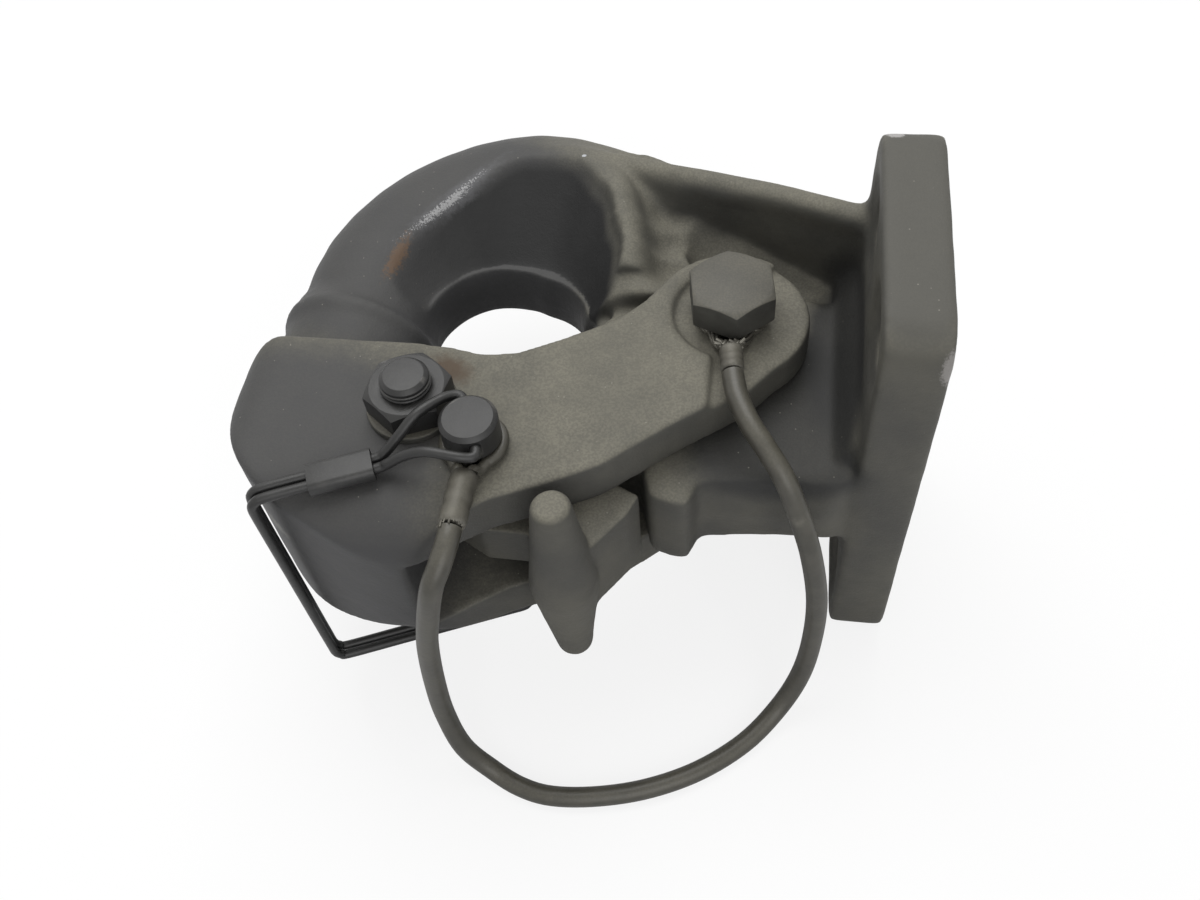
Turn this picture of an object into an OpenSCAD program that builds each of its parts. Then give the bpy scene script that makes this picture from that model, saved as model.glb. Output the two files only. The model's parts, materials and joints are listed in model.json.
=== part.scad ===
// Pintle hook with swing latch, lock lever, wire-lock pin and lanyard.
// Frame: origin at the bolt-pattern centre on the mounting face, +X out of that face,
// +Z along the pivot bolts. The hook lies on its side, so -Y is up in use.

/* [Flange] */
// height of the mounting flange along Y
flange_height = 82; // [78:1:86]
// width of the mounting flange along Z
flange_width = 154; // [150:1:160]
// thickness of the mounting flange
flange_thick = 18; // [16:1:20]
// diameter of the four mounting holes
mount_hole_d = 16.5; // [14:0.5:18]
// hole spacing along Y
hole_pitch_y = 42; // [38:1:44]
// hole spacing along Z
hole_pitch_z = 110; // [106:1:112]

/* [Horn] */
// section radius at the horn tip
horn_tip_r = 24; // [22:0.5:25]
// section radius at the horn root
horn_root_r = 32.5; // [29:0.5:33]
// radius of the horn's centre line
horn_ring_r = 50.5; // [50:0.5:52]

/* [Latch] */
// width over both latch cheeks
latch_width = 66; // [64:1:68]
// width of the slot between the cheeks
slot_width = 34; // [33:0.5:35]
// radius of the latch eye
eye_r = 23.5; // [23:0.5:26]

/* [Bolts] */
// diameter of the latch pivot bolt
pivot_d = 15.9; // [14:0.1:16]
// diameter of the lever pivot bolt
lever_bolt_d = 14; // [12:0.2:14.2]

/* [Lever] */
// length of the cross handle
handle_length = 80; // [72:1:84]
// largest diameter of the cross handle
handle_d = 20; // [17:0.5:21]

/* [Pin and bail] */
// diameter of the safety pin
pin_d = 9.8; // [8:0.2:10]
// diameter of the pin head
pin_head_d = 16.4; // [14:0.2:16.6]
// diameter of the bail wire
wire_d = 3; // [2.4:0.1:3.2]

/* [Cable] */
// diameter of the coated cable
cable_d = 6.4; // [5:0.2:6.6]

/* [Hidden] */
$fn = 64;
half_width = latch_width / 2;
half_slot = slot_width / 2;
half_boss = half_slot - 0.6;
eye_face_z = half_width - 2.7;
floor_z = -flange_width / 2;
pivot_at = [-56.5, 6.5];
lever_at = [-144.5, -36.5];
pin_at = [-124, -49];
handle_at = [-99, -70.5];
ring_at = [-128, 20];
lug_r = 60;
// how far the horn's crest moves in and drops toward the throat, and the collar's lip
rim_inset = 4;
rim_drop = 8.5;
collar_lip = 1.6;
eye_room = 1.2;
// pivot bolt stack
head_z = eye_face_z + 4.4;
head_h = 10;
// lever bolt stack
washer_thick = 2.3;
nut_z = half_width + washer_thick;
// pin stack
pin_head_z = half_width + 4.6;
pin_hole_z = pin_head_z + 5.9;
pin_head_h = 9.4;
bail_low = -half_width - 27;
tip_z = bail_low + wire_d / 2 + 0.6;
bail_u = [-0.925, -0.38];
bail_w = [-0.38, 0.925];
// outer edge of the nose where the bail passes it, and the room left there
nose_edge = [-177, -70.4];
bail_gap = 4;
bail_reach = norm(nose_edge - pin_at) + bail_gap + wire_d / 2;

// unit vector and frames carried along a path
function unit(v) = v / norm(v);
function tangent(p, i) = unit(p[min(i + 1, len(p) - 1)] - p[max(i - 1, 0)]);
function side(t) = abs(t[2]) < 0.9 ? unit(cross(t, [0, 0, 1])) : unit(cross(t, [1, 0, 0]));
function frames(p, i = 0, u = [0, 0, 0], acc = []) =
    i == len(p) ? acc :
    let (t = tangent(p, i), a = i == 0 ? side(t) : unit(u - (u * t) * t))
    frames(p, i + 1, a, concat(acc, [[a, cross(t, a)]]));
function rings(p, r, n) =
    let (f = frames(p))
    [for (i = [0 : len(p) - 1]) for (k = [0 : n - 1])
        p[i] + r[i] * (cos(360 * k / n) * f[i][0] + sin(360 * k / n) * f[i][1])];
function same(r, p) = [for (q = p) r];
// point on a smooth curve through four hand-chosen points
function bend(a, b, c, d, t) =
    0.5 * (2 * b + (c - a) * t + (2 * a - 5 * b + 4 * c - d) * t * t
        + (3 * b - a - 3 * c + d) * t * t * t);
function smooth(p, k) =
    let (m = len(p) - 1)
    concat([for (i = [0 : m - 1]) for (j = [0 : k - 1])
        bend(p[max(i - 1, 0)], p[i], p[i + 1], p[min(i + 2, m)], j / k)], [p[m]]);
function arc(c, r, a0, a1, n) =
    [for (i = [0 : n]) let (a = a0 + (a1 - a0) * i / n) c + r * [cos(a), sin(a)]];
function round_rect(w, h, r) =
    concat(arc([w / 2 - r, h / 2 - r], r, 0, 90, 6), arc([r - w / 2, h / 2 - r], r, 90, 180, 6),
           arc([r - w / 2, r - h / 2], r, 180, 270, 6), arc([w / 2 - r, r - h / 2], r, 270, 360, 6));

// solid tube swept along a path
module tube(p, r, n) {
    m = len(p);
    polyhedron(points = rings(p, r, n), convexity = 6, faces = concat(
        [[for (k = [0 : n - 1]) k], [for (k = [n - 1 : -1 : 0]) (m - 1) * n + k]],
        [for (i = [0 : m - 2]) for (k = [0 : n - 1])
            [i * n + k, (i + 1) * n + k, (i + 1) * n + (k + 1) % n]],
        [for (i = [0 : m - 2]) for (k = [0 : n - 1])
            [i * n + k, (i + 1) * n + (k + 1) % n, i * n + (k + 1) % n]]));
}
// XY outline made symmetric about z = 0
module slab(pts, half) { translate([0, 0, -half]) linear_extrude(2 * half) polygon(pts); }
// XZ outline swept along Y
module along_y(pts, y0, y1) {
    translate([0, y1, 0]) rotate([90, 0, 0]) linear_extrude(y1 - y0) polygon(pts);
}
// YZ outline swept along X
module along_x(pts, x0, x1) {
    translate([x0, 0, 0]) rotate([90, 0, 90]) linear_extrude(x1 - x0) polygon(pts);
}
// round bar along Z at an XY place
module bar(c, r, z0, z1) { translate([c[0], c[1], z0]) cylinder(r = r, h = z1 - z0); }
// hexagon bar along Z
module hex(c, af, z0, z1, turn) {
    translate([c[0], c[1], z0]) rotate([0, 0, turn])
        cylinder(r = af / sqrt(3), h = z1 - z0, $fn = 6);
}
// hexagon with both ends turned to a chamfer
module hex_turned(c, af, z0, z1, turn) {
    intersection() {
        hex(c, af, z0, z1, turn);
        translate([c[0], c[1], z0]) rotate_extrude()
            polygon([[0, 0], [af * 0.56, 0], [af * 0.58, 0.5], [af * 0.58, z1 - z0 - 1.2],
                     [af * 0.48, z1 - z0], [0, z1 - z0]]);
    }
}
// round bar along Z with a chamfer at the lower end
module bar_low(c, r, z0, z1, ch) {
    translate([c[0], c[1], z0]) rotate_extrude()
        polygon([[0, 0], [r - ch, 0], [r, ch], [r, z1 - z0], [0, z1 - z0]]);
}
// flat ring along Z
module washer(c, ro, ri, z0, z1) {
    translate([c[0], c[1], z0]) rotate_extrude()
        polygon([[ri, 0], [ro, 0], [ro, z1 - z0 - 0.4], [ro - 0.4, z1 - z0], [ri, z1 - z0]]);
}

// horn centre line from the tip round to the throat
horn_path = concat([[ring_at[0] - horn_ring_r, -9.5, 0], [ring_at[0] - horn_ring_r, 5, 0]],
    [for (i = [0 : 18]) let (a = 180 - 10 * i, r = horn_ring_r - rim_inset * max(0, (i - 10) / 8))
        [ring_at[0] + r * cos(a), ring_at[1] + r * sin(a), 0]]);
horn_r = concat([horn_tip_r - 1.5, horn_tip_r],
    [for (i = [0 : 18]) horn_tip_r + (horn_root_r - horn_tip_r) * min(1, i / 9)
        - rim_drop * max(0, (i - 12) / 6)]);
// cone that ends the horn on the side of the pocket
skirt_rz = [[0, -34], [horn_ring_r + 3, -34], [horn_ring_r + 15, -11], [horn_ring_r + 15, 11],
            [horn_ring_r + 3, 34], [0, 34]];
// tapered back that leaves the horn on a tangent and runs into the flange
back_line = [for (a = [75, 64, 53])
    [ring_at[0] + horn_ring_r * cos(a), ring_at[1] + horn_ring_r * sin(a), 0]];
back_path = concat(back_line, [[-68.8, 51.8, 0], [-46, 42.1, 0], [-16, 25.5, 0]]);
back_r = concat(same(horn_root_r - 0.3, back_line), [22, 16, 11]);
// side view of the tip's collar, with its sloping top
collar_xy = [[-215, 25.6], [-140, -1], [-140, -10], [-215, -10]];
rib_xy = [[-10, 37], [-36, 50], [-58, 63], [-88, 79], [-118, 88], [-112, 62], [-84, 59],
          [-58, 51], [-36, 41], [-10, 28]];
rib_xz = [[-10, 46], [-18, 45], [-38, 37], [-60, 32], [-90, 29], [-120, 25], [-120, -25],
          [-90, -29], [-60, -32], [-38, -37], [-18, -45], [-10, -46]];
web_xy = [[-10, 32], [-60, 58], [-95, 74], [-100, 44], [-100, 12], [-60, -24], [-10, -34]];
boss_xy = concat([[-10, -36], [-10, 22], [-38, 29], [-60, 33], [-82, 27], [-97, 15], [-102, 3],
          [-99, -14], [-91, -28], [-80, -38]],
          arc(pivot_at, lug_r, -109.4, -98.2, 5), [[-62, -44], [-36, -41.5], [-26, -36]]);
// drafted front of the boss beside the lug, with its parting ridge at z = 0
front_yz = [[-34, half_boss], [-41.5, half_boss], [-44.5, 0], [-41.5, -half_boss], [-34, -half_boss]];
root_xz = [[-10, 27], [-19, 26], [-25, half_boss], [-25, -half_boss], [-19, -26], [-10, -27]];

module body() {
    color([0.24, 0.24, 0.21]) difference() {
        union() {
            along_x(round_rect(flange_height, flange_width, 10), -flange_thick, 0);
            intersection() {
                slab(rib_xy, 60);
                along_y(rib_xz, 0, 100);
            }
            slab(web_xy, 11);
            slab(boss_xy, half_boss);
            intersection() {
                along_x(front_yz, -62, -20);
                bar(pivot_at, lug_r - 0.6, -half_boss - 1, half_boss + 1);
            }
            along_y(root_xz, -36, 36);
            difference() {
                union() {
                    difference() {
                        tube(horn_path, horn_r, 28);
                        difference() {
                            translate([-88, -40, -50]) cube([88, 200, 100]);
                            translate([ring_at[0], ring_at[1], 0]) rotate_extrude() polygon(skirt_rz);
                        }
                    }
                    tube(back_path, back_r, 28);
                }
                for (s = [0, 1]) mirror([0, 0, s]) bar(pivot_at, eye_r + eye_room, half_boss, 60);
            }
            // collar round the horn tip
            intersection() {
                translate([ring_at[0] - horn_ring_r, 30, 0]) rotate([90, 0, 0])
                    cylinder(r = horn_tip_r + collar_lip, h = 40);
                slab(collar_xy, 40);
            }
        }
        // pivot bore and mounting holes with spot faces
        bar(pivot_at, 10, -half_boss - 1, half_boss + 1);
        for (y = [-hole_pitch_y / 2, hole_pitch_y / 2], z = [-hole_pitch_z / 2, hole_pitch_z / 2])
            translate([-flange_thick - 1, y, z]) rotate([0, 90, 0]) {
                cylinder(d = mount_hole_d, h = flange_thick + 2);
                cylinder(d = mount_hole_d + 13, h = 2.5);
            }
    }
}

module pivot_bush() {
    color([0.42, 0.38, 0.28]) difference() {
        bar(pivot_at, 9.98, -half_boss + 0.1, half_boss - 0.1);
        bar(pivot_at, pivot_d / 2 + 0.06, -half_boss - 1, half_boss + 1);
    }
}

module pivot_bolt() {
    color([0.16, 0.16, 0.15]) union() {
        hex_turned(pivot_at, 23.8, head_z, head_z + head_h, 39);
        bar_low(pivot_at, pivot_d / 2, -eye_face_z - 20, head_z + 0.5, 1.6);
    }
}

module pivot_washer() {
    color([0.2, 0.2, 0.18]) washer(pivot_at, 15, pivot_d / 2 + 0.2, -eye_face_z - 2.9, -eye_face_z - 0.3);
}

module pivot_nut() {
    color([0.16, 0.16, 0.15]) difference() {
        mirror([0, 0, 1]) hex_turned(pivot_at, 23.8, eye_face_z + 2.9, eye_face_z + 16, 10);
        bar(pivot_at, pivot_d / 2 + 0.02, -eye_face_z - 30, 0);
    }
}

// nose corner next to the horn tip
corner_r = 12;
corner_at = [-190.5, -11.5 - corner_r];
chin = smooth([[-128, -72.5], [-136, -78.5], [-142, -80.5], [-155, -79], [-167, -75], nose_edge,
    [-186, -63.5], [-194, -54.5], [-199.5, -44], [-202, -32], corner_at - [corner_r, 0]], 3);
latch_xy = concat([[-150, -12], [-138, -13], [-128, -15], [-118, -13.5], [-104, -6.5], [-90, 1.5],
    [-82, 10]], arc(pivot_at, eye_r, 150, -52, 20), [[-50, -21.5], [-60, -29], [-70.5, -37],
    [-88.5, -52], [-103, -59.5], [-117.5, -65.5]], chin, arc(corner_at, corner_r, 172, 90, 8));
nose_r = 14;
nose_x = -203;
chin_r = 18;
chin_y = -80.5 + chin_r;
nose_xz = concat(arc([nose_x + nose_r, half_width - nose_r], nose_r, 90, 180, 8),
    arc([nose_x + nose_r, nose_r - half_width], nose_r, 180, 270, 8),
    [[-20, -half_width], [-20, half_width]]);
nose_yz = concat(arc([chin_y, half_width - chin_r], chin_r, 90, 180, 6),
    arc([chin_y, chin_r - half_width], chin_r, 180, 270, 6),
    [[60, -half_width], [60, half_width]]);

// web that is left between the cheeks on the eye side
web_left = [[-145, 0], [-145, -23], [-120, -26], [-110, -26], [-115.5, -13], [-116, 0]];

module latch() {
    color([0.25, 0.25, 0.22]) difference() {
        intersection() {
            slab(latch_xy, half_width);
            along_y(nose_xz, -100, 60);
            along_x(nose_yz, -240, 0);
        }
        // slot between the cheeks, with a web left on the eye side
        difference() {
            translate([-141, -100, -half_slot]) cube([130, 160, slot_width]);
            slab(web_left, half_slot + 1);
        }
        // room for the lever hub and its travel
        bar(lever_at, 14.5, -half_slot, half_slot);
        slab(concat([lever_at], arc(lever_at, 24, -122, -40, 8)), half_slot);
        // lowered faces at the eye
        for (s = [0, 1]) mirror([0, 0, s]) {
            bar(pivot_at, 17.5, eye_face_z, half_width + 5);
            translate([0, 0, eye_face_z]) linear_extrude(10)
                polygon([[-61, -50], [-61, -5], [-50, 20], [-20, 50], [-20, -50]]);
        }
        bar(pivot_at, pivot_d / 2 + 0.06, -half_width - 1, half_width + 1);
        bar(lever_at, lever_bolt_d / 2 + 0.05, -half_width - 1, half_width + 1);
        bar(pin_at, pin_d / 2 + 0.08, -half_width - 1, half_width + 1);
    }
}

lever_d = unit(handle_at - lever_at);
lever_n = [-lever_d[1], lever_d[0]];
kidney_r = norm(pin_at - lever_at);
kidney_a = atan2(pin_at[1] - lever_at[1], pin_at[0] - lever_at[0]);

module lever() {
    color([0.22, 0.22, 0.2]) difference() {
        union() {
            slab([lever_at + 9 * lever_n, lever_at + 8 * lever_d + 12 * lever_n, pin_at + 17 * lever_n,
                  handle_at + 8 * lever_n - 12 * lever_d, handle_at + 9 * lever_n, handle_at + [-8, 4],
                  handle_at + [-11, 9], pin_at + [0, -12], lever_at - 11 * lever_n], 8.5);
            bar(lever_at, 12, -half_slot + 0.5, 9);
            // toe that stands before the lug
            slab(concat(arc(pivot_at, lug_r + 0.6, -111.4, -124, 5),
                [handle_at + [-4, 12.5], handle_at - 2 * lever_d, handle_at + [3, -7],
                 handle_at + [10, 3.5], handle_at + [17.5, 13.6]]), half_slot - 1);
            for (s = [0, 1]) mirror([0, 0, s]) translate([handle_at[0], handle_at[1], 0])
                rotate_extrude()
                polygon([[0, -1], [handle_d / 2, -1], [handle_d / 2, 2], [5.6, handle_length / 2 - 1.5],
                         [4.2, handle_length / 2], [0, handle_length / 2]]);
        }
        bar(lever_at, lever_bolt_d / 2 + 0.06, -half_slot, half_slot);
        // curved slot that lets the pin stay in while the lever turns
        translate([lever_at[0], lever_at[1], -half_slot]) rotate([0, 0, kidney_a - 1])
            rotate_extrude(angle = 18)
            translate([kidney_r - pin_d / 2 - 0.5, 0]) square([pin_d + 1, 2 * half_slot]);
        for (a = [-1, 17])
            bar(lever_at + kidney_r * [cos(kidney_a + a), sin(kidney_a + a)],
                pin_d / 2 + 0.5, -half_slot, half_slot);
    }
}

module lever_bolt() {
    color([0.15, 0.15, 0.14]) union() {
        translate([lever_at[0], lever_at[1], 0]) rotate_extrude()
            polygon([[0, -nut_z - 0.5], [lever_bolt_d / 2, -nut_z - 0.5],
                     [lever_bolt_d / 2, nut_z + 11.4], [lever_bolt_d / 2 - 1.2, nut_z + 12.6],
                     [0, nut_z + 12.6]]);
        mirror([0, 0, 1]) hex_turned(lever_at, 20.6, nut_z, nut_z + 8.8, 5);
    }
}

module lever_nut() {
    color([0.13, 0.13, 0.12]) difference() {
        hex_turned(lever_at, 22.2, nut_z, nut_z + 8, 22.3);
        bar(lever_at, lever_bolt_d / 2 + 0.02, nut_z - 1, nut_z + 20);
    }
}

module lever_washer() {
    color([0.17, 0.17, 0.16]) washer(lever_at, 13.2, lever_bolt_d / 2 + 0.3, half_width, nut_z);
}

module lever_head_washer() {
    mirror([0, 0, 1]) lever_washer();
}

spring_path = [for (i = [0 : 36]) let (a = 30 * i)
    [lever_at[0] + 10.2 * cos(a), lever_at[1] + 10.2 * sin(a), 10.7 + (half_slot - 12.4) * i / 36]];

module lever_spring() {
    color([0.35, 0.35, 0.36]) tube(spring_path, same(1, spring_path), 8);
}

module safety_pin() {
    color([0.12, 0.12, 0.12]) difference() {
        translate([pin_at[0], pin_at[1], 0]) rotate_extrude()
            polygon([[0, tip_z], [pin_d / 2 - 1.5, tip_z], [pin_d / 2, tip_z + 3],
                     [pin_d / 2, pin_head_z], [pin_head_d / 2 - 0.6, pin_head_z],
                     [pin_head_d / 2, pin_head_z + 0.6], [pin_head_d / 2, pin_head_z + pin_head_h - 1.2],
                     [pin_head_d / 2 - 1.2, pin_head_z + pin_head_h], [0, pin_head_z + pin_head_h]]);
        translate([pin_at[0], pin_at[1], pin_hole_z]) rotate([0, 90, atan2(bail_w[1], bail_w[0])])
            translate([0, 0, -20]) cylinder(d = wire_d + 0.2, h = 40);
    }
}

function bail_at(t, w, z) =
    [pin_at[0] + t * bail_u[0] + w * bail_w[0], pin_at[1] + t * bail_u[1] + w * bail_w[1], z];
// half of the doubled wire, from the cross hole round to below the pin tip
bail_h = pin_hole_z;
bail_top = half_width + 4;
bail_half = [[0, 0.2, bail_h], [0, 6, bail_h], [0, 9.2, bail_h], [0.6, 10.6, bail_h],
    [2.4, 11, bail_h + 0.3], [6, 10, bail_h + 1.2], [13, 6.6, bail_h + 1.8], [19, 3.6, bail_h - 1.5],
    [24, 2, bail_top + 1.2], [27.5, 1.7, bail_top], [40, 1.7, bail_top], [50, 1.7, bail_top],
    [bail_reach - 4, 1.7, bail_top - 0.3], [bail_reach - 1.4, 1.7, bail_top - 1.4],
    [bail_reach - 0.2, 1.7, bail_top - 4],
    [bail_reach, 1.7, bail_top - 12], [bail_reach, 1.7, 0], [bail_reach, 1.7, bail_low + 12],
    [bail_reach - 0.2, 1.7, bail_low + 4], [bail_reach - 1.4, 1.7, bail_low + 1.4],
    [bail_reach - 4, 1.7, bail_low],
    [40, 1.7, bail_low], [20, 1.7, bail_low], [4, 1.7, bail_low], [-1.5, 1.7, bail_low],
    [-3.3, 1.2, bail_low], [-4, 0.3, bail_low]];
bail_path = concat([for (p = bail_half) bail_at(p[0], p[1], p[2])],
    [for (i = [len(bail_half) - 1 : -1 : 0]) let (p = bail_half[i]) bail_at(p[0], -p[1], p[2])]);

module bail() {
    color([0.13, 0.13, 0.13]) tube(bail_path, same(wire_d / 2, bail_path), 8);
}

sleeve_from = 28;
sleeve_length = 18;

module bail_sleeve() {
    color([0.16, 0.16, 0.16]) difference() {
        translate([pin_at[0], pin_at[1], bail_top]) rotate([0, 0, atan2(bail_u[1], bail_u[0])])
            translate([sleeve_from, 0, 0]) rotate([90, 0, 90])
                linear_extrude(sleeve_length) polygon(round_rect(9.4, 5.4, 2));
        for (w = [-1.7, 1.7]) translate([pin_at[0] + w * bail_w[0], pin_at[1] + w * bail_w[1], bail_top])
            rotate([0, 90, atan2(bail_u[1], bail_u[0])]) cylinder(d = wire_d + 0.3, h = 60);
    }
}

// lanyard, points chosen by eye along its lay from the bolt to the pin
lay_z = floor_z + cable_d / 2 + 0.2;
cable_route = [[-54.5, -20.9, eye_face_z + 6.5], [-53.9, -24, eye_face_z + 6.3],
    [-52.5, -29, eye_face_z + 5.7], [-48.8, -36.5, eye_face_z + 4.2], [-44.1, -42.5, eye_face_z + 1.7],
    [-38.4, -49.2, 27], [-33.8, -53.8, 17], [-29.3, -58.1, 3], [-25.9, -61.1, -18], [-25.6, -63.4, -40],
    [-27.9, -67.3, -58], [-34, -74.2, -70], [-44, -85.4, lay_z], [-57.8, -96.2, lay_z],
    [-73.2, -103.7, lay_z], [-88.9, -108, lay_z], [-104, -109.5, lay_z], [-115, -107.5, lay_z],
    [-125, -103.5, lay_z + 3], [-133, -100.5, -61], [-137, -96.5, -45], [-137, -94.5, -25],
    [-135, -93.5, -3], [-132, -93, 13], [-128.5, -91.5, 28], [-126, -87, half_width + 0.8],
    [-124.7, -81.5, half_width + 3.5], [-124.45, -78, half_width + 4.05]];
cable_path = smooth(cable_route, 3);

module cable() {
    color([0.16, 0.15, 0.13]) tube(cable_path, same(cable_d / 2, cable_path), 10);
}

module ferrule(a, b, r) {
    color([0.3, 0.29, 0.26]) tube([a, a + (b - a) * 0.06, a + (b - a) * 0.94, b],
        [r - 0.5, r, r, r - 0.5], 16);
}
// wire loop round a post, with legs that close toward a ferrule in direction m;
// each leg point is its reach, its offset to the side and its rise
function leg_point(c, m, z, leg, s) =
    [c[0] + leg[0] * m[0] - s * leg[1] * m[1], c[1] + leg[0] * m[1] + s * leg[1] * m[0], z + leg[2]];
function loop_path(c, m, r, z, legs) =
    let (a = atan2(m[1], m[0]), n = len(legs) - 1)
    concat([for (i = [n : -1 : 0]) leg_point(c, m, z, legs[i], 1)],
           [for (q = arc(c, r, a + 35, a + 325, 24)) [q[0], q[1], z]],
           [for (leg = legs) leg_point(c, m, z, leg, -1)]);
bolt_ferrule_r = 3.4;
pin_ferrule_r = 3.9;
loop_r = 1.7;
bolt_ferrule = [[-55.6, -12, eye_face_z + 6.5], [-54.6, -20.3, eye_face_z + 6.5]];
pin_ferrule = [[-123.9, -61, half_width + 4.3], [-124.4, -77.3, half_width + 4.1]];
function toward(c, p) = unit([p[0] - c[0], p[1] - c[1]]);
bolt_loop = loop_path(pivot_at, toward(pivot_at, bolt_ferrule[0]), pivot_d / 2 + loop_r + 0.2,
    eye_face_z + 1.9, [[12, 4.2, 0.1], [14, 3, 0.5], [15.5, 2.3, 2.4], [16.7, 1.9, 4.2], [18, 1.85, 4.6]]);
pin_loop = loop_path(pin_at, toward(pin_at, pin_ferrule[0]), pin_head_d / 2, half_width + 2.3,
    [[9.3, 3.4, 0.2], [10.1, 2.6, 1.2], [10.8, 2, 2], [11.5, 1.95, 2]]);

module cable_ferrule_bolt() { ferrule(bolt_ferrule[0], bolt_ferrule[1], bolt_ferrule_r); }
module cable_ferrule_pin() { ferrule(pin_ferrule[0], pin_ferrule[1], pin_ferrule_r); }
module cable_loop_bolt() { color([0.45, 0.43, 0.38]) tube(bolt_loop, same(loop_r, bolt_loop), 10); }
module cable_loop_pin() { color([0.14, 0.14, 0.13]) tube(pin_loop, same(loop_r, pin_loop), 10); }

body();
pivot_bush();
pivot_bolt();
pivot_washer();
pivot_nut();
latch();
lever();
lever_bolt();
lever_nut();
lever_washer();
lever_head_washer();
lever_spring();
safety_pin();
bail();
bail_sleeve();
cable();
cable_loop_bolt();
cable_ferrule_bolt();
cable_loop_pin();
cable_ferrule_pin();
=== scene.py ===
"""Pintle hook lying on a pale floor: forgings, black hardware, wire bail and coated lanyard."""

import json
import logging
import math
import random
from dataclasses import dataclass, field
from enum import Enum
from typing import ClassVar

import bmesh
import bpy
from mathutils import Matrix, Vector, noise

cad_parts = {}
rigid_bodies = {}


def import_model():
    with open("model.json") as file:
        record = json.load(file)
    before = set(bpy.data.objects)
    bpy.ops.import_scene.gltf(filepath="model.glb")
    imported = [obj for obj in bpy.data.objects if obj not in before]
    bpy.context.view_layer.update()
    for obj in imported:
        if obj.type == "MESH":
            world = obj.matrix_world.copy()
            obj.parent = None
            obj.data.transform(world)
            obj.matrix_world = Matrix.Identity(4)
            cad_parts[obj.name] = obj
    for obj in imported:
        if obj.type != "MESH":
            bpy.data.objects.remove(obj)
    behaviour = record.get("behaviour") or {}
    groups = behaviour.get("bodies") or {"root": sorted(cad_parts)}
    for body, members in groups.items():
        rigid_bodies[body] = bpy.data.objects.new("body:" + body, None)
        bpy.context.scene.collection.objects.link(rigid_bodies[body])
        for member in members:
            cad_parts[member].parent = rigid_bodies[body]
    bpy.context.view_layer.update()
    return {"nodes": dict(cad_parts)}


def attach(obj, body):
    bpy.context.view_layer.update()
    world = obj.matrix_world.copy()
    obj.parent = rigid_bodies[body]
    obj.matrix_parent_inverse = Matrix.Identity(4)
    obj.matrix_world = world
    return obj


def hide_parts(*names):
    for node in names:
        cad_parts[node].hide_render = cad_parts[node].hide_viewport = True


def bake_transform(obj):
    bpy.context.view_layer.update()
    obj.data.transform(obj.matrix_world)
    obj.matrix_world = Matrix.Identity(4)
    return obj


MM = 0.001
PHOTO_WIDTH_PX = 1200
SENSOR_MM = 36.0
LOG = logging.getLogger("pintle_hook")

Colour = tuple[float, float, float]
Point = tuple[float, float, float]


class Body(Enum):
    """The rigid bodies that pieces ride on."""

    HOOK = "hook"
    LATCH = "latch"
    LEVER = "lever"
    PIN = "pin"
    BAIL = "bail"


class Slot(Enum):
    """Material slots of the record."""

    FORGING = "forging"
    HARDWARE = "hardware"
    BLACK = "black_steel"
    BRONZE = "bronze_bush"
    SPRING = "spring_steel"
    CABLE = "cable_coat"
    STRAND = "bare_strand"
    FERRULE = "ferrule_metal"


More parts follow.
